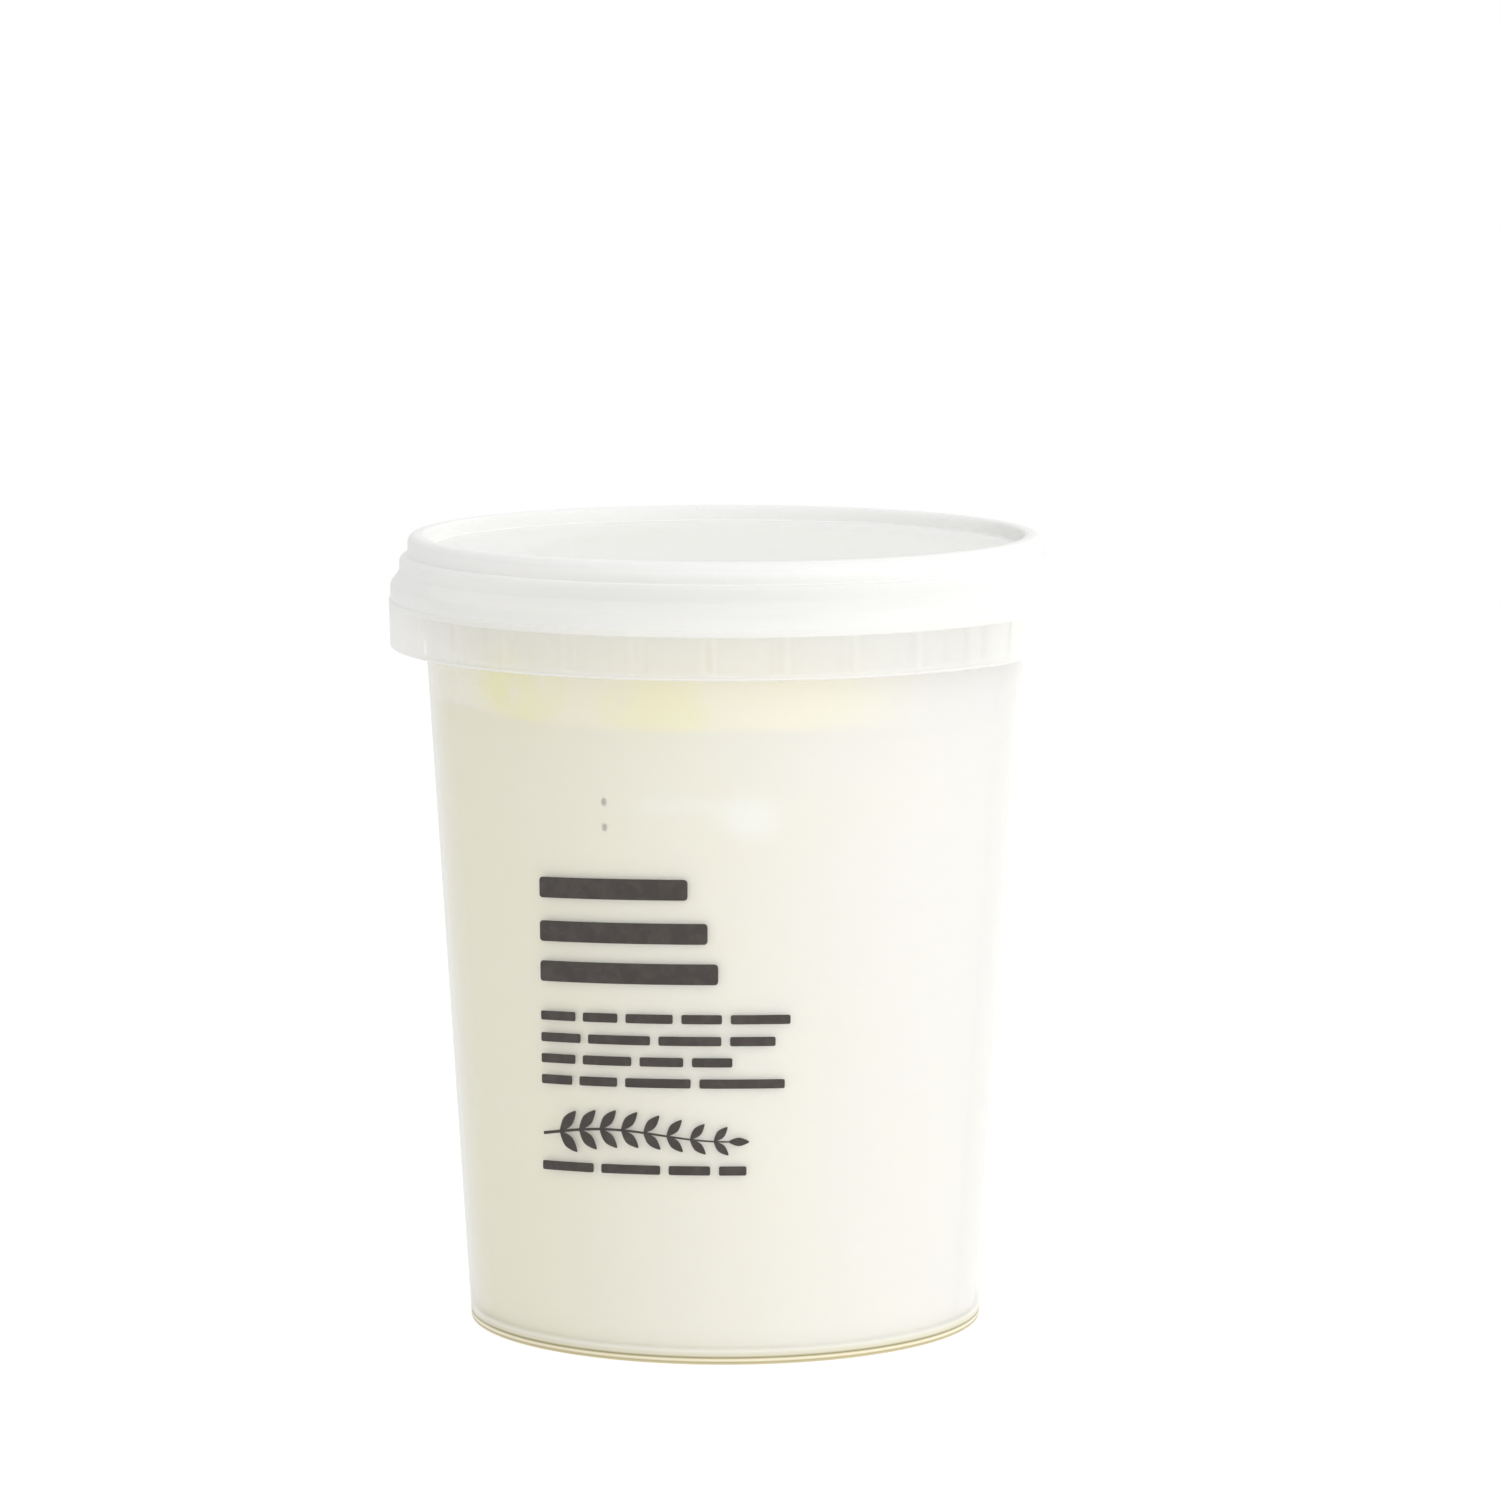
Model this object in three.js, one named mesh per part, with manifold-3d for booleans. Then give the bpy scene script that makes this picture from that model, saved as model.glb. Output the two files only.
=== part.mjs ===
// A tall round plastic tub of yogurt, shut with its push-on lid.
// Four pieces: the tapered tub with a ribbed collar under its rim, the lid with a recessed
// panel, the white yogurt, and the layer of cream that has risen to the top of it.
// Millimetres, +Z up. The origin is the middle of the foot ring, on the surface that the tub
// stands on, and -Y is the front of the tub.

import * as THREE from "three";
import { mergeVertices } from "three/addons/utils/BufferGeometryUtils.js";
import Module from "manifold-3d";

const wasm = await Module();
wasm.setup();

// Driving dimensions of the whole
const HEIGHT = 139.2;              // floor to the crest of the lid
const RIM_RADIUS = 59;             // outside of the lid's skirt and of the collar under it
const SEGMENTS = 60;               // facets round every turned piece
const GAP = 0.3;                   // between pieces that touch

// The tub: a tapered wall on a foot ring
const FOOT_RADIUS = 45.1;          // outside of the wall, carried down to the floor
const DRAFT = 0.062;               // how much the wall's radius grows for each mm of height
const WALL = 0.9;
const FOOT_RING_WIDTH = 2.2;
const FOOT_RING_DRAFT = 0.4;       // how much the ring's inner face leans
const FOOT_RECESS = 1.2;           // how far the base plate stands above the floor
const BASE_THICKNESS = 0.9;
const FOOT_CORNER = 0.9;           // radius of the foot's outer edge
const BASE_CORNER = 1.6;           // radius inside, between the wall and the base plate

// The collar, which hangs from a web under the lid's skirt and is open below
const COLLAR_BOTTOM = 119.6;
const COLLAR_TOP = 128.0;
const COLLAR_TAPER = 0.15;         // how much narrower the collar is at its lower edge
const RIB_COUNT = 30;
const RIB_THICKNESS = 1.1;
const RIB_LIFT = 0.9;              // how far the ribs stop above the collar's lower edge
const RIB_PHASE = -2.5;            // degrees from the front to the nearest rib
const RIB_SINK = 0.4;              // how far a rib runs into what it is joined to

// The rim above the collar, hidden under the lid
const RIM_INNER = 53.7;
const RIM_OUTER = 54.55;
const RIM_TOP = HEIGHT - 1.2;
const CATCH_FLANGE_RADIUS = RIM_RADIUS - WALL - GAP;
const CATCH_FLANGE_Z = COLLAR_TOP + 1.4;
const CATCH_FLANGE_THICKNESS = 0.8;
const SHOULDER_BOTTOM = COLLAR_TOP - 0.6;   // inside, the wall steps out from here
const SHOULDER_TOP = COLLAR_TOP + 1.4;      // to here

// The lid: depths are measured down from the crest
const LID_WALL = 0.85;
const PANEL_DEPTH = 2.5;
const PANEL_RADIUS = 52.2;
const CREST_INNER = 52.65;
const CREST_OUTER = 55.7;
const CREST_CORNER = 1.45;
const CREST_FOOT_DEPTH = 3.55;
const TIER_RADIUS = 57.15;
const TIER_TOP_DEPTH = 3.9;
const TIER_CORNER = 0.9;
const TIER_FOOT_DEPTH = 6.45;
const SKIRT_TOP_DEPTH = 8.6;
const SKIRT_CORNER = 0.8;
const PLUG_DEPTH = 4.3;            // the plug is the panel's edge, turned down into the rim
const PLUG_WALL = 0.75;
const PLUG_TAPER = 0.3;
const EDGE = 0.2;                  // the small rounding of moulded edges

// The contents
const CREAM_BOTTOM = 110;          // mean height of the border between yogurt and cream
const CREAM_TOP = 128.3;
const LAYER_RINGS = [0, 0.25, 0.5, 0.72, 0.88, 1];

const wallOuter = (z) => FOOT_RADIUS + DRAFT * z;
const wallInner = (z) => wallOuter(z) - WALL;

// Outlines

// A corner of an outline: radius and height, and how far it is rounded, in so many steps.
const corner = (r, z, rounding = 0, steps = 2) => ({ at: new THREE.Vector2(r, z), rounding, steps });

// Turns a list of corners into outline points, with an arc in place of each rounded corner.
function outline(corners) {
  const points = [];
  corners.forEach(({ at, rounding, steps }, i) => {
    if (rounding === 0) {
      points.push(at);
      return;
    }
    const back = corners[i - 1].at.clone().sub(at).normalize();
    const ahead = corners[i + 1].at.clone().sub(at).normalize();
    const half = Math.acos(back.dot(ahead)) / 2;
    const reach = rounding / Math.tan(half);
    const middle = back.clone().add(ahead).normalize().multiplyScalar(rounding / Math.sin(half)).add(at);
    const from = back.multiplyScalar(reach).add(at).sub(middle);
    const to = ahead.multiplyScalar(reach).add(at).sub(middle);
    const turn = Math.atan2(from.cross(to), from.dot(to));
    for (let step = 0; step <= steps; step += 1) {
      points.push(from.clone().rotateAround(new THREE.Vector2(), (turn * step) / steps).add(middle));
    }
  });
  return points;
}

// Turns an outline round the Z axis.
const turned = (points) => new THREE.LatheGeometry(points, SEGMENTS).rotateX(Math.PI / 2);

// Joining of closed meshes

function toSolid(geometry) {
  const bare = geometry.clone();
  bare.deleteAttribute("normal");
  bare.deleteAttribute("uv");
  const merged = mergeVertices(bare, 1e-4);
  const vertProperties = new Float32Array(merged.attributes.position.array);
  const corners = [];
  for (let i = 0; i < merged.index.count; i += 3) {
    const [a, b, c] = [0, 1, 2].map((k) => merged.index.getX(i + k));
    if (a !== b && b !== c && c !== a) corners.push(a, b, c);
  }
  const triVerts = new Uint32Array(corners);
  return new wasm.Manifold(new wasm.Mesh({ numProp: 3, vertProperties, triVerts }));
}

function toGeometry(solid) {
  const mesh = solid.getMesh();
  const geometry = new THREE.BufferGeometry();
  geometry.setAttribute("position", new THREE.BufferAttribute(mesh.vertProperties, 3));
  geometry.setIndex(new THREE.BufferAttribute(mesh.triVerts, 1));
  geometry.computeVertexNormals();
  return geometry;
}

// The tub

function tubShell() {
  const baseTop = FOOT_RECESS + BASE_THICKNESS;
  const webBottom = COLLAR_TOP - WALL;
  const collarInner = RIM_RADIUS - WALL;
  const footInner = FOOT_RADIUS - FOOT_RING_WIDTH;
  return turned(outline([
    corner(0, FOOT_RECESS),
    corner(footInner - FOOT_RING_DRAFT, FOOT_RECESS),
    corner(footInner, 0),
    corner(FOOT_RADIUS, 0, FOOT_CORNER, 3),
    corner(wallOuter(webBottom), webBottom),
    corner(collarInner, webBottom),
    corner(collarInner - COLLAR_TAPER, COLLAR_BOTTOM),
    corner(RIM_RADIUS - COLLAR_TAPER, COLLAR_BOTTOM, 1.5 * EDGE, 1),
    corner(RIM_RADIUS, COLLAR_TOP, EDGE, 1),
    corner(RIM_OUTER, COLLAR_TOP),
    corner(RIM_OUTER, CATCH_FLANGE_Z),
    corner(CATCH_FLANGE_RADIUS, CATCH_FLANGE_Z),
    corner(CATCH_FLANGE_RADIUS, CATCH_FLANGE_Z + CATCH_FLANGE_THICKNESS),
    corner(RIM_OUTER, CATCH_FLANGE_Z + CATCH_FLANGE_THICKNESS),
    corner(RIM_OUTER, RIM_TOP, EDGE, 1),
    corner(RIM_INNER, RIM_TOP, EDGE, 1),
    corner(RIM_INNER, SHOULDER_TOP),
    corner(wallInner(SHOULDER_BOTTOM), SHOULDER_BOTTOM),
    corner(wallInner(baseTop), baseTop, BASE_CORNER, 3),
    corner(0, baseTop),
  ]));
}

// One of the upright ribs that tie the collar to the wall, sunk a little way into both.
function rib(index) {
  const inner = wallOuter(COLLAR_BOTTOM) - RIB_SINK;
  const outer = RIM_RADIUS - WALL - COLLAR_TAPER + RIB_SINK;
  const bottom = COLLAR_BOTTOM + RIB_LIFT;
  const top = COLLAR_TOP - WALL + RIB_SINK;
  const angle = THREE.MathUtils.degToRad(RIB_PHASE - 90 + (360 / RIB_COUNT) * index);
  return new THREE.BoxGeometry(outer - inner, RIB_THICKNESS, top - bottom)
    .translate((outer + inner) / 2, 0, (top + bottom) / 2)
    .rotateZ(angle);
}

function tub() {
  let solid = toSolid(tubShell());
  for (let index = 0; index < RIB_COUNT; index += 1) solid = solid.add(toSolid(rib(index)));
  return toGeometry(solid);
}

// The lid

function lid() {
  const down = (depth) => HEIGHT - depth;
  const skirtBottom = COLLAR_TOP + GAP;
  const skirtInner = RIM_RADIUS - LID_WALL;
  return turned(outline([
    corner(0, down(PANEL_DEPTH + LID_WALL)),
    corner(PANEL_RADIUS, down(PANEL_DEPTH + LID_WALL)),
    corner(PANEL_RADIUS + PLUG_TAPER, down(PLUG_DEPTH)),
    corner(CREST_INNER + PLUG_WALL, down(PLUG_DEPTH)),
    corner(CREST_INNER + PLUG_WALL, down(LID_WALL)),
    corner(CREST_OUTER - LID_WALL, down(LID_WALL)),
    corner(CREST_OUTER - LID_WALL, down(CREST_FOOT_DEPTH + LID_WALL)),
    corner(TIER_RADIUS - LID_WALL, down(TIER_TOP_DEPTH + LID_WALL)),
    corner(TIER_RADIUS - LID_WALL, down(TIER_FOOT_DEPTH + LID_WALL / 2)),
    corner(skirtInner, down(SKIRT_TOP_DEPTH + LID_WALL / 2)),
    corner(skirtInner, skirtBottom),
    corner(RIM_RADIUS, skirtBottom, EDGE, 1),
    corner(RIM_RADIUS, down(SKIRT_TOP_DEPTH), SKIRT_CORNER, 2),
    corner(TIER_RADIUS, down(TIER_FOOT_DEPTH)),
    corner(TIER_RADIUS, down(TIER_TOP_DEPTH), TIER_CORNER, 2),
    corner(CREST_OUTER, down(CREST_FOOT_DEPTH)),
    corner(CREST_OUTER, down(0), CREST_CORNER, 3),
    corner(CREST_INNER, down(0), 3 * EDGE, 2),
    corner(PANEL_RADIUS, down(PANEL_DEPTH), 1.5 * EDGE, 1),
    corner(0, down(PANEL_DEPTH)),
  ]));
}

// The contents

// Height of the soft, uneven border between the yogurt and the cream above it.
function border(x, y) {
  const turn = Math.atan2(y, x);
  const reach = Math.hypot(x, y) / wallInner(CREAM_BOTTOM);
  const swell = 0.9 * Math.sin(2 * turn + 0.7) * reach + 0.6 * Math.sin(5 * turn + 2.2) * reach ** 2;
  return CREAM_BOTTOM + swell - 1.2 * (1 - reach ** 2);
}

// Height of the cream's own surface, which is level but for a few low swells.
const surface = (x, y) => CREAM_TOP + 0.25 * Math.sin(0.11 * x + 0.8) * Math.cos(0.09 * y - 0.5);

// The radius that the contents fill, at a height inside the tub.
const fill = (z) => wallInner(z) - GAP;

// One face of a layer, as outline points from the axis to the wall.
const face = (z) => LAYER_RINGS.map((share) => new THREE.Vector2(share * fill(z), z));

// Turns an outline, then lifts its points at the heights low and high onto two uneven faces.
function uneven(points, low, below, high, above) {
  const geometry = turned(points);
  const position = geometry.attributes.position;
  for (let i = 0; i < position.count; i += 1) {
    const [x, y, z] = [position.getX(i), position.getY(i), position.getZ(i)];
    if (Math.abs(z - high) < 1e-3) position.setZ(i, above(x, y));
    if (Math.abs(z - low) < 1e-3) position.setZ(i, below(x, y));
  }
  geometry.computeVertexNormals();
  return geometry;
}

function yogurt() {
  const low = FOOT_RECESS + BASE_THICKNESS + GAP;
  const top = face(CREAM_BOTTOM).reverse();
  const foot = outline([corner(0, low), corner(fill(low), low, BASE_CORNER, 3), { at: top[0], rounding: 0 }]);
  const points = [...foot.slice(0, -1), ...top];
  return uneven(points, low, () => low, CREAM_BOTTOM, (x, y) => border(x, y) - GAP / 2);
}

function cream() {
  const points = [...face(CREAM_BOTTOM), ...face(CREAM_TOP).reverse()];
  return uneven(points, CREAM_BOTTOM, (x, y) => border(x, y) + GAP / 2, CREAM_TOP, surface);
}

// The finished tub

const plastic = (name, colour, opacity) => new THREE.MeshStandardMaterial({
  name, color: new THREE.Color(...colour), roughness: 0.35, metalness: 0, transparent: true, opacity,
});
const food = (name, colour) => new THREE.MeshStandardMaterial({
  name, color: new THREE.Color(...colour), roughness: 0.45, metalness: 0,
});

const pieces = {
  tub: [tub(), plastic("milky_plastic", [0.93, 0.93, 0.91], 0.5)],
  lid: [lid(), plastic("milky_lid_plastic", [0.94, 0.94, 0.93], 0.6)],
  yogurt: [yogurt(), food("yogurt", [0.93, 0.91, 0.84])],
  cream: [cream(), food("cream", [0.93, 0.88, 0.68])],
};

const group = new THREE.Group();
group.name = "yogurt_tub";
for (const [name, [geometry, material]] of Object.entries(pieces)) {
  const mesh = new THREE.Mesh(geometry, material);
  mesh.name = name;
  group.add(mesh);
}

export default group;
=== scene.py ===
# %% [markdown]
# # A lidded tub of yogurt
# The object is a tall round tub of milky plastic, shut with a push-on lid and full of plain white yogurt
# under a layer of cream. This lesson dresses a finished CAD model of it. Each CAD solid gives the true
# size and place of one piece, and here each is remade with the fine roundings, ribs and finishes that the
# eye reads as moulded plastic and food. Nearly every piece is round, so most of the work is drawing a good
# outline, half of the section through the piece, and spinning it.

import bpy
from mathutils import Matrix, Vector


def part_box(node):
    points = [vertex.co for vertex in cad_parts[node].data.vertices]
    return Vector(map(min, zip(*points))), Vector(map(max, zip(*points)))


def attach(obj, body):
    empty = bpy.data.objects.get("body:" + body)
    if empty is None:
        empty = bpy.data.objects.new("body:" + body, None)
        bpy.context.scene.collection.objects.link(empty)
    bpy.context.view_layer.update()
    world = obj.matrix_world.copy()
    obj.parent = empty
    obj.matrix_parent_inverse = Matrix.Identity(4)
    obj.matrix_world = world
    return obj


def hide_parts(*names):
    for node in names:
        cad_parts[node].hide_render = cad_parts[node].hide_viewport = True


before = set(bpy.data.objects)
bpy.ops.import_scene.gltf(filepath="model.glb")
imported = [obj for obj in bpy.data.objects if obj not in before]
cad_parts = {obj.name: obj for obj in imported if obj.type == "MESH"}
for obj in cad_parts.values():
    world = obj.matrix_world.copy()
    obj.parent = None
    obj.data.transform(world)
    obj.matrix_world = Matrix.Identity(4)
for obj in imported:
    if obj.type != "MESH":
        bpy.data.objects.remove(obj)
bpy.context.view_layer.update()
print("CAD nodes:", sorted(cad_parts))

# %% [markdown]
# ## Sizes
# Blender counts in metres, but a tub is easier to think about in millimetres. All outlines below are in
# millimetres, and each mesh is scaled down once, when it is finished. The sizes that the CAD model already
# settles are read from it, so that the pieces fit it whatever happens to it later.

# %% Sizes in millimetres, read from the CAD model where it settles them
import math
import random

import bmesh
import bpy
from mathutils import Matrix, Vector

MM = 0.001
_, lid_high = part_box("lid")
_, tub_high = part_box("tub")
cream_low, cream_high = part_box("cream")
HEIGHT = lid_high[2] / MM
RIM_RADIUS = lid_high[0] / MM
RIM_TOP = tub_high[2] / MM
print(f"height {HEIGHT:.1f}, rim radius {RIM_RADIUS:.1f}, rim top {RIM_TOP:.1f} mm")
print(f"the CAD model's cream lies from {cream_low[2] / MM:.1f} to {cream_high[2] / MM:.1f} mm")

# %% [markdown]
# ## Camera
# The photograph was taken from a little over a metre away, a bit above the lid, looking slightly down: the
# ellipses of the lid and of the foot are flat, and nearly alike. A long lens from that distance keeps the
# sides of the tub almost parallel, as they are in the photograph. The tub stands a little left of the
# middle of the picture, which is a small sideways step of the camera and no turn of it.

# %% Place the camera
CAMERA_DISTANCE = 1.2
CAMERA_HEIGHT = 0.251
CAMERA_STEP = 0.0044
CAMERA_PITCH = math.radians(7.14)
LENS = 164.7
SENSOR = 36
camera_data = bpy.data.cameras.new("camera")
camera_data.sensor_width = SENSOR
camera_data.lens = LENS
camera = bpy.data.objects.new("camera", camera_data)
camera.location = (CAMERA_STEP, -CAMERA_DISTANCE, CAMERA_HEIGHT)
camera.rotation_euler = (math.radians(90) - CAMERA_PITCH, 0, 0)
bpy.context.scene.collection.objects.link(camera)
bpy.context.scene.camera = camera
print("lens", LENS, "mm, looking down by", round(math.degrees(CAMERA_PITCH), 2), "degrees")

# %% [markdown]
# ## Light
# The tub stands in a white studio. Light comes from all around, dim from the left and brighter from the
# right, and one large soft box to the right and in front washes that side out to white. A weaker one above
# lights the flat faces of the lid. For the camera alone the background is pure white: Light Path tells
# what the camera sees from what lights the tub, so the tub keeps its soft grey shade on the left. Light
# finds its way into see-through plastic only by many bounces and through many layers, so both limits are
# set.

# %% Light the studio
def area_light(name, place, target, size, power, colour):
    """A square soft box at place that faces target, in metres and watts."""
    data = bpy.data.lights.new(name, "AREA")
    data.size = size
    data.energy = power
    data.color = colour
    light = bpy.data.objects.new(name, data)
    light.location = place
    light.rotation_euler = (Vector(target) - Vector(place)).to_track_quat("-Z", "Y").to_euler()
    bpy.context.scene.collection.objects.link(light)
    return light


MIDDLE = (0, 0, 0.5 * HEIGHT * MM)
soft_boxes = [
    area_light("key", place=(1.15, -0.9, 0.6), target=MIDDLE, size=1.2, power=4.3, colour=(0.97, 0.99, 1.0)),
    area_light("top", place=(0.3, -0.4, 1.15), target=MIDDLE, size=1.0, power=1.7, colour=(1.0, 1.0, 1.0)),
]
print("soft boxes:", [f"{light.name} {light.data.energy:.1f} W" for light in soft_boxes])

# %% Light from all around, dimmer from the left
AMBIENT_LEFT = 0.63
AMBIENT_RIGHT = 1.05
world = bpy.data.worlds.new("studio")
world.use_nodes = True
nodes, links = world.node_tree.nodes, world.node_tree.links
nodes.clear()
path = nodes.new("ShaderNodeLightPath")
direction = nodes.new("ShaderNodeTexCoord")
split = nodes.new("ShaderNodeSeparateXYZ")
sideways = nodes.new("ShaderNodeMapRange")
sideways.inputs["From Min"].default_value = -1.0
sideways.inputs["To Min"].default_value = AMBIENT_LEFT
sideways.inputs["To Max"].default_value = AMBIENT_RIGHT
strength = nodes.new("ShaderNodeMapRange")
strength.inputs["To Max"].default_value = 1.0
background = nodes.new("ShaderNodeBackground")
output = nodes.new("ShaderNodeOutputWorld")
links.new(direction.outputs["Generated"], split.inputs["Vector"])
links.new(split.outputs["X"], sideways.inputs["Value"])
links.new(sideways.outputs["Result"], strength.inputs["To Min"])
links.new(path.outputs["Is Camera Ray"], strength.inputs["Value"])
links.new(strength.outputs["Result"], background.inputs["Strength"])
links.new(background.outputs["Background"], output.inputs["Surface"])
background.inputs["Color"].default_value = (1, 1, 1, 1)
bpy.context.scene.world = world
bpy.context.scene.view_settings.view_transform = "Standard"
bpy.context.scene.cycles.max_bounces = 8
bpy.context.scene.cycles.diffuse_bounces = 6
bpy.context.scene.cycles.transparent_max_bounces = 20
print("ambient light from", AMBIENT_LEFT, "to", AMBIENT_RIGHT)

# %% [markdown]
# ## Floor
# The floor is a plain pale sheet that runs out of sight. It glows, so that it stays as white as the
# background. As a light it glows less than it does for the camera, because a floor that lit the tub as
# strongly from below would take its shade away.

# %% Make the floor
FLOOR_SIZE = 2.4
bm = bmesh.new()
bmesh.ops.create_grid(bm, x_segments=1, y_segments=1, size=FLOOR_SIZE / 2)
floor_mesh = bpy.data.meshes.new("floor")
bm.to_mesh(floor_mesh)
bm.free()
floor = bpy.data.objects.new("floor", floor_mesh)
bpy.context.scene.collection.objects.link(floor)
print("floor", FLOOR_SIZE, "m wide")

# %% [markdown]
# ## How a round piece is made
# A moulded tub has no sharp corners. Each corner of an outline therefore says how far back along its two
# sides it is rounded. The outline starts as a few vertices joined by edges, the vertex bevel puts an arc
# into each rounded corner, and a full spin makes it a closed solid. The spin leaves the points on the axis
# on top of each other, so doubles are merged before the faces are turned outwards.

# %% Helpers for round pieces
STEPS = 180
MERGE_DISTANCE = 1e-4
SHARP_ANGLE = math.radians(34)


def outline(corners):
    """A wire through corners (radius, height) or (radius, height, rounding), in the plane of X and Z."""
    bm = bmesh.new()
    verts = [bm.verts.new((radius, 0, height)) for radius, height, *_ in corners]
    for start, end in zip(verts, verts[1:]):
        bm.edges.new((start, end))
    for vert, (_, _, *rounding) in zip(verts, corners):
        if rounding:
            bmesh.ops.bevel(bm, geom=[vert], offset=rounding[0], offset_type="OFFSET", segments=4,
                            profile=0.5, affect="VERTICES", material=-1)
    return bm


def spin(bm):
    """Turns a wire once round the Z axis into a closed solid whose faces point outwards."""
    bmesh.ops.spin(bm, geom=bm.verts[:] + bm.edges[:], cent=(0, 0, 0), axis=(0, 0, 1), angle=math.tau,
                   steps=STEPS, use_merge=True)
    bmesh.ops.remove_doubles(bm, verts=bm.verts, dist=MERGE_DISTANCE)
    bmesh.ops.recalc_face_normals(bm, faces=bm.faces)
    return bm


def shade(mesh):
    """Smooth shading that stops at sharp corners."""
    mesh.shade_smooth()
    mesh.set_sharp_from_angle(angle=SHARP_ANGLE)


def finish(bm, name):
    """Scales a mesh in millimetres to metres and makes it an object at the origin."""
    bmesh.ops.scale(bm, vec=(MM, MM, MM), verts=bm.verts)
    open_edges = sum(not edge.is_manifold for edge in bm.edges)
    mesh = bpy.data.meshes.new(name)
    bm.to_mesh(mesh)
    bm.free()
    shade(mesh)
    piece = bpy.data.objects.new(name, mesh)
    bpy.context.scene.collection.objects.link(piece)
    print(name, "has", len(mesh.polygons), "faces and", open_edges, "open edges")
    return piece


# %% [markdown]
# ## The tub
# The wall leans outwards by the same amount for each millimetre of height, so its radius is a straight
# line of the height. It stands on a foot ring round a base plate that is set a little higher, so that only
# the ring touches the table. Under the base plate is the small round mark where the plastic entered the
# mould. At the top the wall carries a collar, open below, then the rim with the flange that the lid
# catches. All of this is one outline. It is drawn from the axis outwards along the underside, up the
# outside, over the rim and down the inside. A point a millimetre below the collar keeps the long faces of
# the wall apart from the short ones that the ribs will cut, so that the wall stays evenly shaded.

# %% Outline of the tub
FOOT_RADIUS = 45.1
DRAFT = 0.062
WALL = 0.9
FOOT_RECESS = 1.2
GATE_MARK = 0.85
BASE_TOP = 2.1
COLLAR_BOTTOM = 119.6
COLLAR_TOP = 128.0
COLLAR_LEAN = 0.15
RIM_INNER = 53.7
RIM_OUTER = 54.55
FLANGE_BOTTOM = 129.4
FLANGE_TOP = 130.2
FLANGE_RADIUS = RIM_RADIUS - 1.2


def wall_outer(z):
    return FOOT_RADIUS + DRAFT * z


def wall_inner(z):
    return wall_outer(z) - WALL


web_bottom = COLLAR_TOP - WALL
tub_outline = [
    (0, GATE_MARK),
    (1.7, GATE_MARK, 0.2),
    (2.1, FOOT_RECESS, 0.15),
    (FOOT_RADIUS - 2.6, FOOT_RECESS, 0.2),
    (FOOT_RADIUS - 2.2, 0, 0.35),
    (FOOT_RADIUS, 0, 0.25),
    (wall_outer(COLLAR_BOTTOM - 1), COLLAR_BOTTOM - 1),
    (wall_outer(web_bottom), web_bottom, 0.3),
    (RIM_RADIUS - WALL, web_bottom, 0.3),
    (RIM_RADIUS - WALL - COLLAR_LEAN, COLLAR_BOTTOM, 0.2),
    (RIM_RADIUS - COLLAR_LEAN, COLLAR_BOTTOM, 0.35),
    (RIM_RADIUS, COLLAR_TOP, 0.25),
    (RIM_OUTER, COLLAR_TOP, 0.3),
    (RIM_OUTER, FLANGE_BOTTOM, 0.2),
    (FLANGE_RADIUS, FLANGE_BOTTOM, 0.15),
    (FLANGE_RADIUS, FLANGE_TOP, 0.3),
    (RIM_OUTER, FLANGE_TOP, 0.2),
    (RIM_OUTER, RIM_TOP, 0.3),
    (RIM_INNER, RIM_TOP, 0.3),
    (RIM_INNER, FLANGE_BOTTOM, 0.6),
    (wall_inner(COLLAR_TOP - 0.6), COLLAR_TOP - 0.6, 0.6),
    (wall_inner(BASE_TOP), BASE_TOP, 0.3),
    (0, BASE_TOP),
]
tub_shell = finish(spin(outline(tub_outline)), "tub_shell")

# %% [markdown]
# ## The ribs behind the collar
# Thirty thin upright ribs tie the collar to the wall. Through the milky collar they show as paler stripes.
# Each starts as a cube that is scaled, moved out and turned into place, a little way into both walls. Seen
# through clear plastic, pieces that only overlap would show their hidden faces, so the ribs are united
# with the tub by one Boolean.

# %% Make the ribs
RIB_COUNT = 30
RIB_THICKNESS = 1.1
RIB_SINK = 0.4
RIB_PHASE = -2.5
RIB_ROUNDING = 0.15
rib_inner = wall_outer(COLLAR_BOTTOM) - RIB_SINK
rib_outer = RIM_RADIUS - WALL - COLLAR_LEAN + RIB_SINK
rib_bottom = COLLAR_BOTTOM + 0.9
rib_top = web_bottom + RIB_SINK
rib_size = Matrix.Diagonal((rib_outer - rib_inner, RIB_THICKNESS, rib_top - rib_bottom, 1))
rib_place = Matrix.Translation(((rib_outer + rib_inner) / 2, 0, (rib_top + rib_bottom) / 2))

bm = bmesh.new()
for index in range(RIB_COUNT):
    turn = Matrix.Rotation(math.radians(RIB_PHASE - 90 + index * 360 / RIB_COUNT), 4, "Z")
    bmesh.ops.create_cube(bm, size=1, matrix=turn @ rib_place @ rib_size)
bmesh.ops.bevel(bm, geom=bm.edges[:], offset=RIB_ROUNDING, offset_type="OFFSET", segments=2,
                profile=0.5, affect="EDGES", material=-1)
ribs = finish(bm, "ribs")

# %% Unite the ribs with the tub
union = tub_shell.modifiers.new("ribs", "BOOLEAN")
union.operation = "UNION"
union.solver = "EXACT"
union.object = ribs
evaluated = tub_shell.evaluated_get(bpy.context.evaluated_depsgraph_get())
joined_mesh = bpy.data.meshes.new_from_object(evaluated)
tub_shell.modifiers.clear()
tub_shell.data = joined_mesh
shade(joined_mesh)
bpy.data.objects.remove(ribs)
print("tub_shell with ribs has", len(joined_mesh.polygons), "faces")

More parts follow.
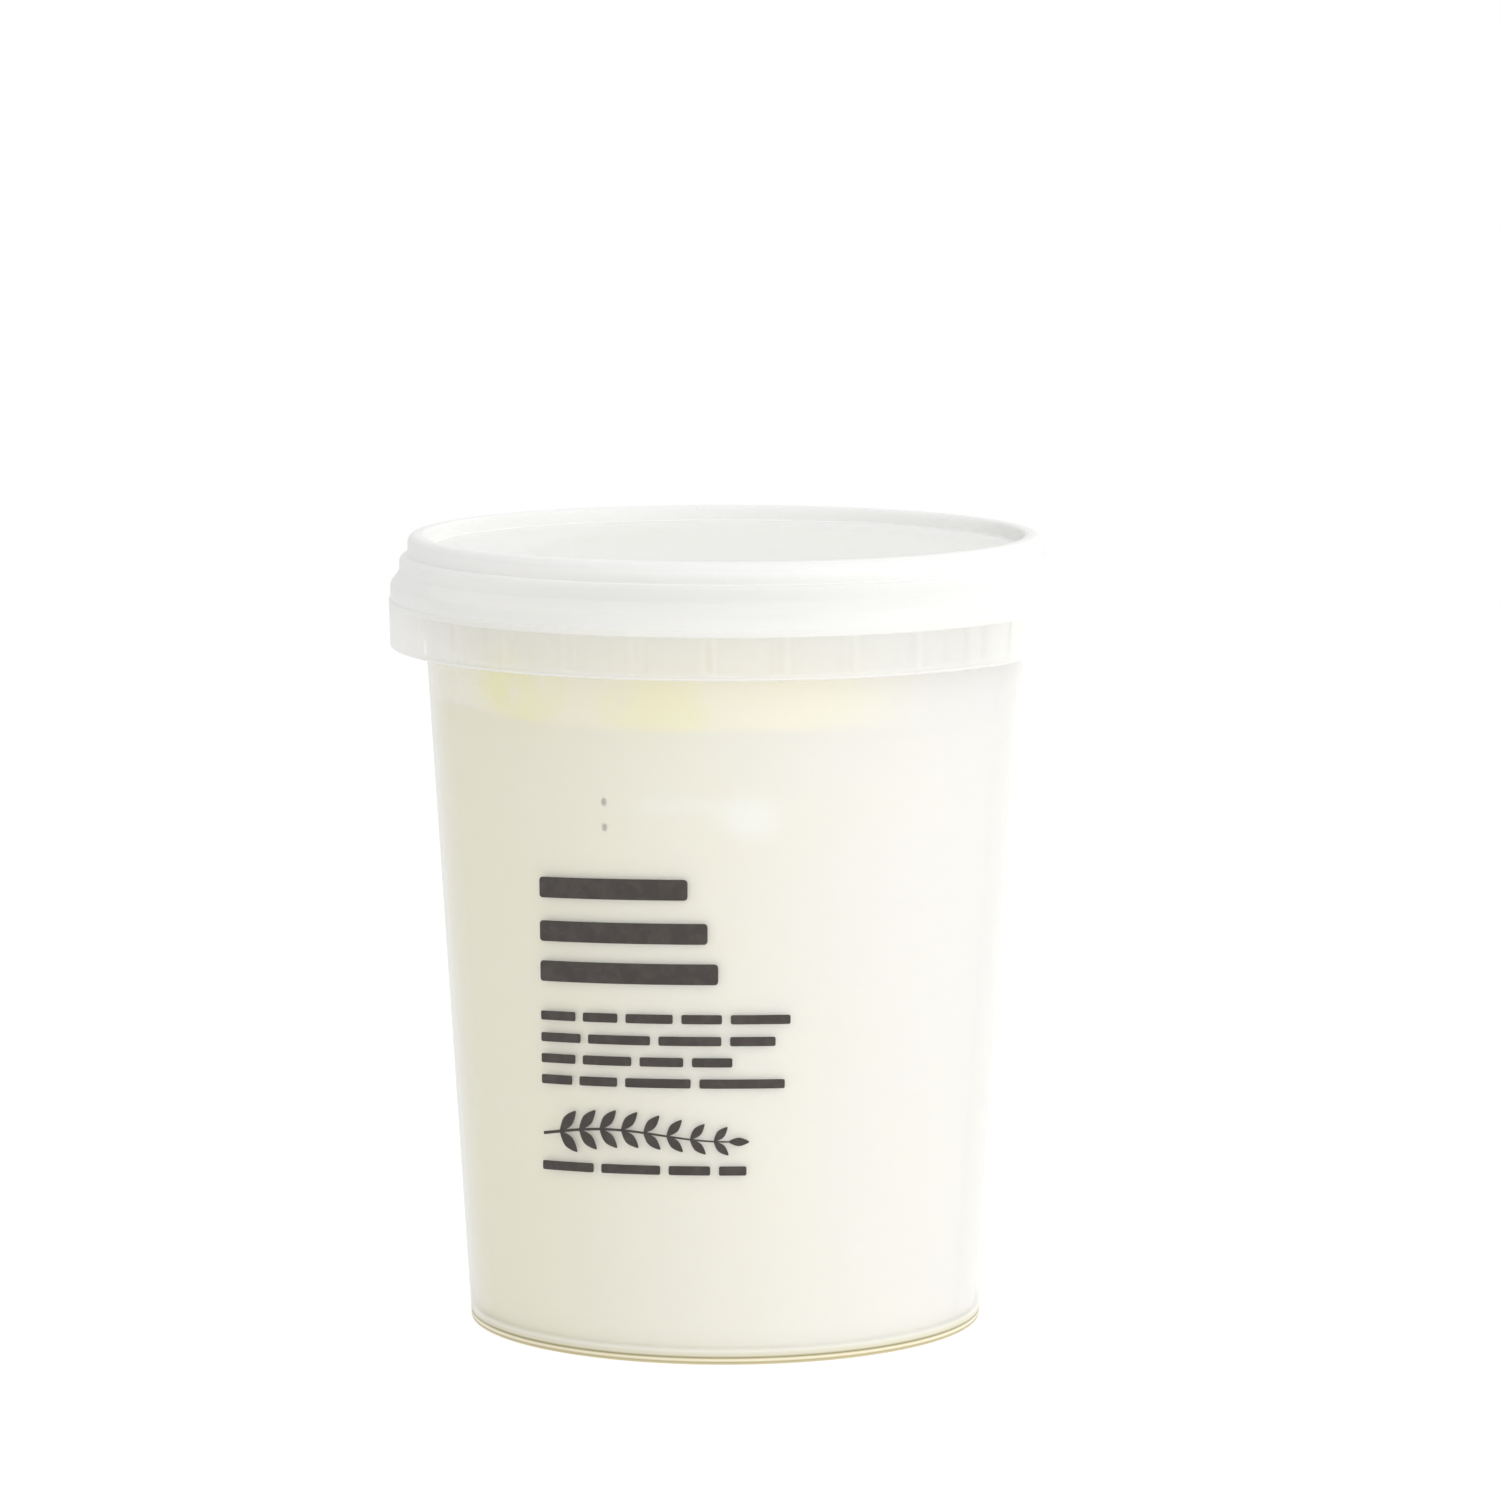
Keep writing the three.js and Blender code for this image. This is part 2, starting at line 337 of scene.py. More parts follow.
# %% [markdown]
# ## The lid
# The lid's panel lies a little below its crest. Inside the crest a short plug goes down into the tub's
# rim, and outside it the lid steps down over two shoulders to a straight skirt. The skirt is set in by a
# quarter millimetre and meets the collar in a fine line. The outline goes along the underside first, round
# the plug and the rim's channel, and comes back over the outside. Depths count down from the crest. Each
# wall has an outer and a hidden face, and two milky faces behind each other would look too thick. So the
# hidden faces are found by where they point, and get a clear finish of their own.

# %% Outline of the lid
LID_WALL = 0.85
PANEL_DEPTH = 2.5
SKIRT_RADIUS = RIM_RADIUS - 0.25
SKIRT_INNER = SKIRT_RADIUS - LID_WALL
CREST_MIDDLE = 54.0
SEAM = COLLAR_TOP - 0.02


def below_crest(depth):
    return HEIGHT - depth


lid_outline = [
    (0, below_crest(PANEL_DEPTH + LID_WALL)),
    (52.2, below_crest(PANEL_DEPTH + LID_WALL), 0.25),
    (52.5, below_crest(4.3), 0.15),
    (53.4, below_crest(4.3), 0.25),
    (53.4, below_crest(LID_WALL), 0.4),
    (54.85, below_crest(LID_WALL), 0.6),
    (54.85, below_crest(4.4), 0.3),
    (56.3, below_crest(4.75), 0.4),
    (56.3, below_crest(6.87), 0.4),
    (SKIRT_INNER, below_crest(9.02), 0.4),
    (SKIRT_INNER, SEAM, 0.15),
    (SKIRT_RADIUS, SEAM),
    (SKIRT_RADIUS, below_crest(8.6), 0.55),
    (57.15, below_crest(6.45), 0.3),
    (57.15, below_crest(3.9), 0.9),
    (55.7, below_crest(3.55), 0.25),
    (55.7, below_crest(0), 1.45),
    (52.65, below_crest(0), 0.6),
    (52.2, below_crest(PANEL_DEPTH), 0.3),
    (0, below_crest(PANEL_DEPTH)),
]
lid_shell = finish(spin(outline(lid_outline)), "lid_shell")

# %% Find the lid's hidden faces
LEANING = 0.3
BELOW_PANEL = PANEL_DEPTH + 0.3


def is_hidden(face):
    """True for the faces of the lid's underside and of the channel inside its crest."""
    radius = math.hypot(face.center.x, face.center.y) / MM
    outward = (face.normal.x * face.center.x + face.normal.y * face.center.y) / (radius * MM)
    depth = HEIGHT - face.center.z / MM
    if radius < CREST_MIDDLE:
        return face.normal.z < -LEANING or outward > LEANING or depth > BELOW_PANEL
    return face.normal.z < -LEANING or outward < -LEANING


for face in lid_shell.data.polygons:
    face.material_index = int(is_hidden(face))
print("hidden faces of the lid:", sum(face.material_index for face in lid_shell.data.polygons))

# %% [markdown]
# ## The contents
# Yogurt wets the wall that it was filled into, so there is no air between them. Each layer is therefore a
# little larger than the space inside the tub and ends inside the wall, where no gap can show. The border
# between the white yogurt and the risen cream is soft and uneven. It is the same function of the place for
# both layers, so that they meet all over, with a small overlap. The cream's own surface is level, with low
# swells, and climbs a little where it meets the wall.

# %% Shape the faces of the two layers
WALL_REACH = 0.1
LAYER_OVERLAP = 0.05
CREAM_BOTTOM = 110.0
CREAM_TOP = 128.3
MENISCUS = 0.7
LEVEL_MARGIN = 1e-3
LAYER_RINGS = [0, 0.15, 0.3, 0.45, 0.6, 0.74, 0.85, 0.92, 0.96, 0.985, 1]


def border(x, y):
    """Height of the border between the yogurt and the cream."""
    turn = math.atan2(y, x)
    reach = math.hypot(x, y) / wall_inner(CREAM_BOTTOM)
    swell = 0.9 * math.sin(2 * turn + 0.7) * reach + 0.6 * math.sin(5 * turn + 2.2) * reach ** 2
    return CREAM_BOTTOM + swell - 1.2 * (1 - reach ** 2)


def cream_surface(x, y):
    """Height of the cream's own surface."""
    reach = math.hypot(x, y) / wall_inner(CREAM_TOP)
    return CREAM_TOP + 0.25 * math.sin(0.11 * x + 0.8) * math.cos(0.09 * y - 0.5) + MENISCUS * reach ** 24


def fill_radius(z):
    return wall_inner(z) + WALL_REACH


def face_points(z):
    """Outline points of a layer's upper or lower face, from the axis to the wall."""
    return [(share * fill_radius(z), z) for share in LAYER_RINGS]


def lift(bm, level, height):
    """Moves the vertices that lie at a level onto an uneven face."""
    for vert in bm.verts:
        if abs(vert.co.z - level) < LEVEL_MARGIN:
            vert.co.z = height(vert.co.x, vert.co.y)
    return bm


# %% Make the yogurt and the cream
yogurt_low = BASE_TOP - WALL_REACH
yogurt_outline = [(0, yogurt_low), (fill_radius(yogurt_low), yogurt_low),
                  *reversed(face_points(CREAM_BOTTOM))]
yogurt_bm = lift(spin(outline(yogurt_outline)), CREAM_BOTTOM, border)
yogurt_body = finish(yogurt_bm, "yogurt_body")

cream_outline = [*face_points(CREAM_BOTTOM), *reversed(face_points(CREAM_TOP))]
cream_bm = lift(spin(outline(cream_outline)), CREAM_BOTTOM, lambda x, y: border(x, y) - LAYER_OVERLAP)
cream_layer = finish(lift(cream_bm, CREAM_TOP, cream_surface), "cream_layer")

# %% [markdown]
# ## The smear under the lid
# The tub has been tipped at some time, and a thin film of cream still clings to the underside of the lid's
# panel. From outside it is only a warmer patch with a slanting left edge. It is a disc, cut straight by a
# plane on its left, with a wavy edge, and it is as thin as a film. Its upper face ends inside the panel.

# %% Make the smear
SMEAR_RADIUS = 46.0
SMEAR_MIDDLE = (3.0, 0.0)
SMEAR_THICKNESS = 0.35
SMEAR_CUT = (-37.0, -10.0)
SMEAR_SLANT = math.radians(13.2)
LONG_EDGE = 6
smear_top = below_crest(PANEL_DEPTH + LID_WALL) + LAYER_OVERLAP

bm = bmesh.new()
bmesh.ops.create_circle(bm, cap_ends=True, segments=144, radius=SMEAR_RADIUS)
bmesh.ops.translate(bm, vec=(*SMEAR_MIDDLE, smear_top), verts=bm.verts)
cut_normal = (-math.cos(SMEAR_SLANT), math.sin(SMEAR_SLANT), 0)
bmesh.ops.bisect_plane(bm, geom=bm.verts[:] + bm.edges[:] + bm.faces[:], plane_co=(*SMEAR_CUT, smear_top),
                       plane_no=cut_normal, clear_outer=True)
bmesh.ops.subdivide_edges(bm, edges=[edge for edge in bm.edges if edge.calc_length() > LONG_EDGE], cuts=30)
for vert in bm.verts:
    turn = math.atan2(vert.co.y, vert.co.x)
    wave = 1 + 0.02 * math.sin(5 * turn + 0.6) + 0.012 * math.sin(13 * turn)
    wave += 0.006 * math.sin(31 * turn + 1.4)
    vert.co.x *= wave
    vert.co.y *= wave
film = bmesh.ops.extrude_face_region(bm, geom=bm.faces[:])
lower = [item for item in film["geom"] if isinstance(item, bmesh.types.BMVert)]
bmesh.ops.translate(bm, vec=(0, 0, -SMEAR_THICKNESS), verts=lower)
bmesh.ops.recalc_face_normals(bm, faces=bm.faces)
cream_smear = finish(bm, "cream_smear")

# %% [markdown]
# ## The print
# Charcoal ink is printed straight onto the wall: three heavy rows, four rows of small words, and an
# ornament. Here the words are plain bars, one for each word, and the ornament is a sprig of leaves. They
# are laid out flat first, with U along the wall and V up it, where bars and leaves are easy to place. Then
# the flat layout is cut into narrow strips, given its thickness, and bent onto the wall: U becomes an
# angle and V a height. The wall is a slim cone, so rows that are straight on it dip a little the further
# they go round.

# %% Lay the print out flat
PRINT_LEFT = -34.2
HEAVY_HEIGHT = 3.6
HEAVY_ROUNDING = 0.6
HEAVY_ROWS = [(81.2, 28.0), (73.6, 31.4), (66.6, 33.2)]
SMALL_HEIGHT = 1.6
SMALL_ROUNDING = 0.3
SMALL_ROWS = [(59.8, 45.6), (56.0, 43.0), (52.3, 35.6), (48.6, 44.6)]
WORD_LENGTHS = (6.0, 12.0)
WORD_GAP = 1.5
SHORTEST_WORD = 4
SHORTEST_REST = 5


def flat_bar(bm, left, bottom, width, height, rounding):
    """A bar with rounded corners in the plane of U and V."""
    made = bmesh.ops.create_grid(bm, x_segments=1, y_segments=1, size=0.5)["verts"]
    bmesh.ops.scale(bm, vec=(width, height, 1), verts=made)
    bmesh.ops.translate(bm, vec=(left + width / 2, bottom + height / 2, 0), verts=made)
    bmesh.ops.bevel(bm, geom=made, offset=rounding, offset_type="OFFSET", segments=3, profile=0.5,
                    affect="VERTICES", material=-1)


def word_row(bm, bottom, length, draw):
    """A row of small bars, as long as words are, that ends at the given length."""
    left = PRINT_LEFT
    end = PRINT_LEFT + length
    while end - left > SHORTEST_WORD:
        width = min(draw.uniform(*WORD_LENGTHS), end - left)
        if end - left - width < SHORTEST_REST:
            width = end - left
        flat_bar(bm, left, bottom, width, SMALL_HEIGHT, SMALL_ROUNDING)
        left += width + WORD_GAP


draw = random.Random(4)
print_bm = bmesh.new()
for bottom, length in HEAVY_ROWS:
    flat_bar(print_bm, PRINT_LEFT, bottom, length, HEAVY_HEIGHT, HEAVY_ROUNDING)
for bottom, length in SMALL_ROWS:
    word_row(print_bm, bottom, length, draw)
print("print rows laid out with", len(print_bm.faces), "bars")

# %% [markdown]
# A leaf is a circle drawn out to a point at both ends: the further a vertex lies from the middle, the
# closer it moves to the midrib. The stem is a thin strip that follows a slow wave, and the leaves stand on
# it in pairs that get smaller towards the tip, with one last leaf at the end.

# %% Draw the sprig
SPRIG_LEFT = PRINT_LEFT + 0.3
SPRIG_LENGTH = 38.0
SPRIG_MIDDLE = 40.2
SMALL_LAST_ROW = (33.4, 38.0)
STEM_LENGTH = SPRIG_LENGTH - 3
STEM_THICKNESS = 0.55
STEM_TAPER = 0.3
LEAF_PAIRS = 8
LEAF_LENGTH = 5.2
LEAF_SHORTENING = 1.9
LEAF_SLIMNESS = 0.42
LEAF_POINT = 0.55
LEAF_ANGLES = (48, -44)
TIP_LEAF = (3.6, 1.5)
TIP_OVERLAP = 0.4


def stem_height(share):
    return SPRIG_MIDDLE + 0.9 * math.sin(5.2 * share - 0.4)


def leaf(bm, root, length, width, angle):
    """One pointed leaf in the plane of U and V, from its root outwards."""
    made = bmesh.ops.create_circle(bm, cap_ends=True, segments=24, radius=1)["verts"]
    for vert in made:
        vert.co.y *= 1 - LEAF_POINT * abs(vert.co.x) ** 1.5
    bmesh.ops.scale(bm, vec=(length / 2, width / 2, 1), verts=made)
    bmesh.ops.translate(bm, vec=(length / 2, 0, 0), verts=made)
    bmesh.ops.rotate(bm, cent=(0, 0, 0), matrix=Matrix.Rotation(angle, 3, "Z"), verts=made)
    bmesh.ops.translate(bm, vec=(*root, 0), verts=made)


stem = bmesh.ops.create_grid(print_bm, x_segments=24, y_segments=1, size=0.5)["verts"]
for vert in stem:
    share = vert.co.x + 0.5
    thickness = STEM_THICKNESS - STEM_TAPER * share
    vert.co = (SPRIG_LEFT + STEM_LENGTH * share, stem_height(share) + thickness * vert.co.y, 0)
for pair in range(LEAF_PAIRS):
    share = (pair + 0.9) / (LEAF_PAIRS + 0.6)
    root = (SPRIG_LEFT + STEM_LENGTH * share, stem_height(share))
    length = LEAF_LENGTH - LEAF_SHORTENING * share
    for angle in LEAF_ANGLES:
        leaf(print_bm, root, length, LEAF_SLIMNESS * length, math.radians(angle))
leaf(print_bm, (SPRIG_LEFT + STEM_LENGTH - TIP_OVERLAP, stem_height(1)), *TIP_LEAF, 0)
word_row(print_bm, *SMALL_LAST_ROW, draw)
print("print with its sprig has", len(print_bm.faces), "faces")

# %% Bend the print onto the wall
STRIP = 1.5
PRINT_DIP = 0.09
INK_PROUD = 0.03
INK_SUNK = 0.05
first_cut = math.floor(PRINT_LEFT / STRIP)
last_cut = -first_cut
for cut in range(first_cut, last_cut):
    bmesh.ops.bisect_plane(print_bm, geom=print_bm.verts[:] + print_bm.edges[:] + print_bm.faces[:],
                           plane_co=(cut * STRIP, 0, 0), plane_no=(1, 0, 0))
ink = bmesh.ops.extrude_face_region(print_bm, geom=print_bm.faces[:])
ink_top = [item for item in ink["geom"] if isinstance(item, bmesh.types.BMVert)]
bmesh.ops.translate(print_bm, vec=(0, 0, INK_PROUD + INK_SUNK), verts=ink_top)
bmesh.ops.translate(print_bm, vec=(0, 0, -INK_SUNK), verts=print_bm.verts)
for vert in print_bm.verts:
    along, up, proud = vert.co
    radius = wall_outer(up)
    turn = along / radius
    up -= PRINT_DIP * radius * (1 - math.cos(turn))
    radius = wall_outer(up)
    vert.co = ((radius + proud) * math.sin(turn), -(radius + proud) * math.cos(turn), up)
bmesh.ops.recalc_face_normals(print_bm, faces=print_bm.faces)
wall_print = finish(print_bm, "wall_print")

# %% [markdown]
# ## Effects that several finishes share
# Two effects come back in more than one material, so each is a node group, built once. "Moulded ripple" is
# the faint unevenness of plastic that flowed into a mould: long streaks up the wall and fine grain between
# them, which move the roughness and the height a little. "Soft patches" is a cloudy mask for food, whose
# edge can be soft or firm. Both read coordinates that the material hands in.

# %% Helpers for materials
def new_group(name, inputs, outputs):
    """A shader node group with named sockets. A value's third item is its default."""
    group = bpy.data.node_groups.new(name, "ShaderNodeTree")
    for socket, kind, *default in inputs:
        made = group.interface.new_socket(name=socket, in_out="INPUT", socket_type=kind)
        if default:
            made.default_value = default[0]
    for socket, kind in outputs:
        group.interface.new_socket(name=socket, in_out="OUTPUT", socket_type=kind)
    return group, group.nodes.new("NodeGroupInput"), group.nodes.new("NodeGroupOutput")


def add(tree, kind, links=None, **settings):
    """A new node. Settings are its properties; links names an input and what feeds it, socket or number."""
    node = tree.nodes.new(kind)
    for name, value in settings.items():
        setattr(node, name, value)
    for socket, source in (links or {}).items():
        if isinstance(source, bpy.types.NodeSocket):
            tree.links.new(source, node.inputs[socket])
        else:
            node.inputs[socket].default_value = source
    return node


# %% Build the moulded ripple
STREAK_SQUEEZE = 0.12
GRAIN_SHARE = 0.3


def build_ripple():
    """Long streaks and fine grain, put out as a roughness and as a height for relief."""
    inputs = [("Coordinates", "NodeSocketVector"), ("Streak Scale", "NodeSocketFloat", 120.0),
              ("Grain Scale", "NodeSocketFloat", 2500.0), ("Roughness", "NodeSocketFloat", 0.3),
              ("Swing", "NodeSocketFloat", 0.05)]
    outputs = [("Roughness", "NodeSocketFloat"), ("Height", "NodeSocketFloat")]
    group, given, result = new_group("moulded ripple", inputs, outputs)
    stretched = add(group, "ShaderNodeMapping", {"Vector": given.outputs["Coordinates"],
                                                 "Scale": (1, 1, STREAK_SQUEEZE)})
    streaks = add(group, "ShaderNodeTexNoise", {"Vector": stretched.outputs["Vector"], "Detail": 2.0,
                                                "Scale": given.outputs["Streak Scale"]})
    grain = add(group, "ShaderNodeTexNoise", {"Vector": given.outputs["Coordinates"], "Detail": 3.0,
                                              "Scale": given.outputs["Grain Scale"]})
    mixed = add(group, "ShaderNodeMix", {"Factor": GRAIN_SHARE, "A": streaks.outputs["Fac"],
                                         "B": grain.outputs["Fac"]})
    centred = add(group, "ShaderNodeMath", {0: mixed.outputs["Result"], 1: 0.5}, operation="SUBTRACT")
    swung = add(group, "ShaderNodeMath", {0: centred.outputs["Value"], 1: given.outputs["Swing"],
                                          2: given.outputs["Roughness"]}, operation="MULTIPLY_ADD")
    group.links.new(swung.outputs["Value"], result.inputs["Roughness"])
    group.links.new(mixed.outputs["Result"], result.inputs["Height"])
    return group


ripple = build_ripple()
print("node group", ripple.name, "has", len(ripple.nodes), "nodes")

# %% Build the soft patches
def build_patches():
    """A mask from a cloud of noise, cut at the threshold with an edge as wide as the softness."""
    inputs = [("Coordinates", "NodeSocketVector"), ("Scale", "NodeSocketFloat", 60.0),
              ("Threshold", "NodeSocketFloat", 0.5), ("Softness", "NodeSocketFloat", 0.1)]
    group, given, result = new_group("soft patches", inputs, [("Mask", "NodeSocketFloat")])
    cloud = add(group, "ShaderNodeTexNoise", {"Vector": given.outputs["Coordinates"], "Detail": 3.0,
                                              "Scale": given.outputs["Scale"], "Distortion": 0.6})
    low = add(group, "ShaderNodeMath", {0: given.outputs["Threshold"], 1: given.outputs["Softness"]},
              operation="SUBTRACT")
    high = add(group, "ShaderNodeMath", {0: given.outputs["Threshold"], 1: given.outputs["Softness"]},
               operation="ADD")
    mask = add(group, "ShaderNodeMapRange", {"Value": cloud.outputs["Fac"], "From Min": low.outputs["Value"],
                                             "From Max": high.outputs["Value"]},
               interpolation_type="SMOOTHSTEP")
    group.links.new(mask.outputs["Result"], result.inputs["Mask"])
    return group


patches = build_patches()
print("node group", patches.name, "has", len(patches.nodes), "nodes")

# %% [markdown]
# ## Milky plastic
# The tub and the lid are polypropylene without pigment: cloudy, a little soft to the touch and never quite
# glossy. How milky it looks depends on how much plastic the eye looks through. Square on, the thin wall
# hides little. At the sides of the tub one looks along the wall, and it is as good as white. So each
# finish has two values, a haze and an edge haze, and Layer Weight, which says how far a face is turned
# away, blends them into Alpha, as it would for glass. Transmission could do the same, but in thin walls
# that lie so close it stays dark and grainy. The haze is higher where the plastic is thick: at the web,
# the collar's lip and the foot. The ribs' own sides are nearly clear, as many of them lie behind each
# other, and a soft stripe on the collar marks each rib. The foot shows straw-coloured lines where light
# runs along inside the plastic, so a colour ramp over its lowest millimetres draws them.

# %% Start a finish
PLASTIC_ROUGHNESS = 0.30
PLASTIC_IOR = 1.49
RIPPLE_SWING = 0.12
RIPPLE_STRENGTH = 0.12
RIPPLE_DEPTH = 0.0002


def new_material(name):
    """A material with its tree, its Principled shader and its Object coordinates."""
    material = bpy.data.materials.new(name)
    material.use_nodes = True
    tree = material.node_tree
    shader = tree.nodes["Principled BSDF"]
    place = tree.nodes.new("ShaderNodeTexCoord").outputs["Object"]
    return material, tree, shader, place


def plastic(name):
    """A slightly uneven plastic with a soft gloss."""
    material, tree, shader, place = new_material(name)
    surface = add(tree, "ShaderNodeGroup", {}, node_tree=ripple)
    tree.links.new(place, surface.inputs["Coordinates"])
    surface.inputs["Roughness"].default_value = PLASTIC_ROUGHNESS
    surface.inputs["Swing"].default_value = RIPPLE_SWING
    tree.links.new(surface.outputs["Roughness"], shader.inputs["Roughness"])
    relief = add(tree, "ShaderNodeBump", {"Height": surface.outputs["Height"], "Strength": RIPPLE_STRENGTH,
                                          "Distance": RIPPLE_DEPTH})
    tree.links.new(relief.outputs["Normal"], shader.inputs["Normal"])
    shader.inputs["IOR"].default_value = PLASTIC_IOR
    return material, tree, shader, place


# %% [markdown]
# ## Masks by place
# Where a finish changes from place to place, a mask says how far: a number from 0 to 1 at each point. On a
# round tub nearly every change follows the height, the distance from the axis or the angle round it, and
# all three come from Object coordinates by a few nodes of arithmetic. The helpers below take millimetres.

# %% Masks by height and by distance from the axis
def height_mask(tree, place, low, high):
    """A mask that rises from 0 to 1 between two heights in millimetres."""
    split = add(tree, "ShaderNodeSeparateXYZ", {"Vector": place})
    ramp = add(tree, "ShaderNodeMapRange", {"Value": split.outputs["Z"], "From Min": low * MM,
                                            "From Max": high * MM}, interpolation_type="SMOOTHSTEP")
    return ramp.outputs["Result"]


def radius_in_mm(tree, place):
    """Distance from the tub's axis, in millimetres."""
    flat = add(tree, "ShaderNodeVectorMath", {0: place, 1: (1 / MM, 1 / MM, 0)}, operation="MULTIPLY")
    length = add(tree, "ShaderNodeVectorMath", {0: flat.outputs["Vector"]}, operation="LENGTH")
    return length.outputs["Value"]


def compare(tree, value, limit, operation):
    """1 where the value is GREATER_THAN or LESS_THAN the limit, and 0 elsewhere."""
    return add(tree, "ShaderNodeMath", {0: value, 1: limit}, operation=operation).outputs["Value"]


def multiply(tree, first, second):
    return add(tree, "ShaderNodeMath", {0: first, 1: second}, operation="MULTIPLY").outputs["Value"]


# %% Blend values and colours by a mask
def blend(tree, mask, low, high):
    """A value that goes from low to high as the mask rises."""
    return add(tree, "ShaderNodeMapRange", {"Value": mask, "To Min": low, "To Max": high}).outputs["Result"]


def mix_colours(tree, mask, low, high):
    """Mixes two colours, each a tuple or a socket, by a mask."""
    mix = add(tree, "ShaderNodeMix", {"Factor": mask}, data_type="RGBA")
    for socket, colour in ((mix.inputs[6], low), (mix.inputs[7], high)):
        if isinstance(colour, tuple):
            socket.default_value = (*colour, 1)
        else:
            tree.links.new(colour, socket)
    return mix.outputs[2]


# %% Turn milky where the plastic is seen edge on
EDGE_HAZE = 0.95
EDGE_WIDTH = 0.4


def turning_haze(tree, haze, edge_haze, edge_start):
    """The haze where the plastic is seen square on, and the edge haze where it is seen edge on."""
    facing = add(tree, "ShaderNodeLayerWeight", {"Blend": 0.5})
    edge_end = add(tree, "ShaderNodeMath", {0: edge_start, 1: EDGE_WIDTH}, operation="ADD")
    turned = add(tree, "ShaderNodeMapRange", {"Value": facing.outputs["Facing"], "From Min": edge_start,
                                              "From Max": edge_end.outputs["Value"], "To Min": haze,
                                              "To Max": edge_haze}, interpolation_type="SMOOTHSTEP")
    return turned.outputs["Result"]


# %% [markdown]
# ## The tub's finish
# The ribs repeat every twelve degrees, so the cosine of thirty times the angle is highest at each of them,
# and a limit on that cosine makes thirty soft stripes without counting them. A second mask finds the ribs'
# own sides, in the gap between the wall and the collar.

# %% Masks for the ribs
STRIPE_WIDTH = 2.0
STRIPE_CORE = 0.3
STRIPE_EDGE = 1.8
CAVITY_INSIDE = wall_outer(web_bottom) + 0.15
CAVITY_OUTSIDE = RIM_RADIUS - WALL - 0.3


def stripe_mask(tree, place):
    """A mask that is 1 where a rib stands behind the collar, and fades to 0 between the ribs."""
    split = add(tree, "ShaderNodeSeparateXYZ", {"Vector": place})
    turn = add(tree, "ShaderNodeMath", {0: split.outputs["X"], 1: split.outputs["Y"]}, operation="ARCTAN2")
    phase = math.radians(RIB_PHASE) * RIB_COUNT
    wave = add(tree, "ShaderNodeMath", {0: turn.outputs["Value"], 1: RIB_COUNT, 2: phase},
               operation="MULTIPLY_ADD")
    crest = add(tree, "ShaderNodeMath", {0: wave.outputs["Value"]}, operation="COSINE")
    half_width = RIB_COUNT * STRIPE_WIDTH / 2 / RIM_RADIUS
    stripe = add(tree, "ShaderNodeMapRange", {"Value": crest.outputs["Value"],
                                              "From Min": math.cos(half_width * STRIPE_EDGE),
                                              "From Max": math.cos(half_width * STRIPE_CORE)},
                 interpolation_type="SMOOTHSTEP")
    above = height_mask(tree, place, rib_bottom - 0.6, rib_bottom + 0.6)
    below = height_mask(tree, place, COLLAR_TOP, COLLAR_TOP - 0.3)
    return multiply(tree, stripe.outputs["Result"], multiply(tree, above, below))


def cavity_mask(tree, place):
    """A mask that is 1 in the gap between the wall and the collar, where only the ribs' sides are."""
    away = radius_in_mm(tree, place)
    between = multiply(tree, compare(tree, away, CAVITY_OUTSIDE, "LESS_THAN"),
                       compare(tree, away, CAVITY_INSIDE, "GREATER_THAN"))
    low = height_mask(tree, place, COLLAR_BOTTOM, COLLAR_BOTTOM + 0.1)
    high = height_mask(tree, place, web_bottom, web_bottom - 0.1)
    return multiply(tree, between, multiply(tree, low, high))


# %% Haze of the tub
TUB_HAZE = 0.30
STRIPE_HAZE = 0.06
CAVITY_HAZE = 0.04
THICK_HAZE = 0.75
RIM_HAZE = 0.12
FOOT_HAZE = 0.88
WALL_EDGE_START = 0.6
COLLAR_EDGE_START = 0.35

tub_plastic, tree, shader, place = plastic("milky_tub_plastic")
stripes = stripe_mask(tree, place)
cavity = cavity_mask(tree, place)
web = height_mask(tree, place, web_bottom - 0.3, web_bottom)
lip = multiply(tree, height_mask(tree, place, COLLAR_BOTTOM + 0.6, COLLAR_BOTTOM + 0.2),
               height_mask(tree, place, COLLAR_BOTTOM - 0.2, COLLAR_BOTTOM))
thick = add(tree, "ShaderNodeMath", {0: web, 1: lip}, operation="MAXIMUM").outputs["Value"]
rim = height_mask(tree, place, COLLAR_TOP + 0.2, COLLAR_TOP + 0.6)
foot = height_mask(tree, place, 3.2, 2.3)
collar = height_mask(tree, place, COLLAR_BOTTOM - 0.5, COLLAR_BOTTOM)

haze = blend(tree, stripes, TUB_HAZE, TUB_HAZE + STRIPE_HAZE)
haze = blend(tree, cavity, haze, CAVITY_HAZE)
haze = blend(tree, thick, haze, THICK_HAZE)
haze = blend(tree, rim, haze, RIM_HAZE)
haze = blend(tree, foot, haze, FOOT_HAZE)
edge_haze = blend(tree, cavity, EDGE_HAZE, CAVITY_HAZE)
edge_haze = blend(tree, rim, edge_haze, RIM_HAZE)
edge_start = blend(tree, collar, WALL_EDGE_START, COLLAR_EDGE_START)
tree.links.new(turning_haze(tree, haze, edge_haze, edge_start), shader.inputs["Alpha"])
print("haze from", CAVITY_HAZE, "in the gap to", FOOT_HAZE, "at the foot")

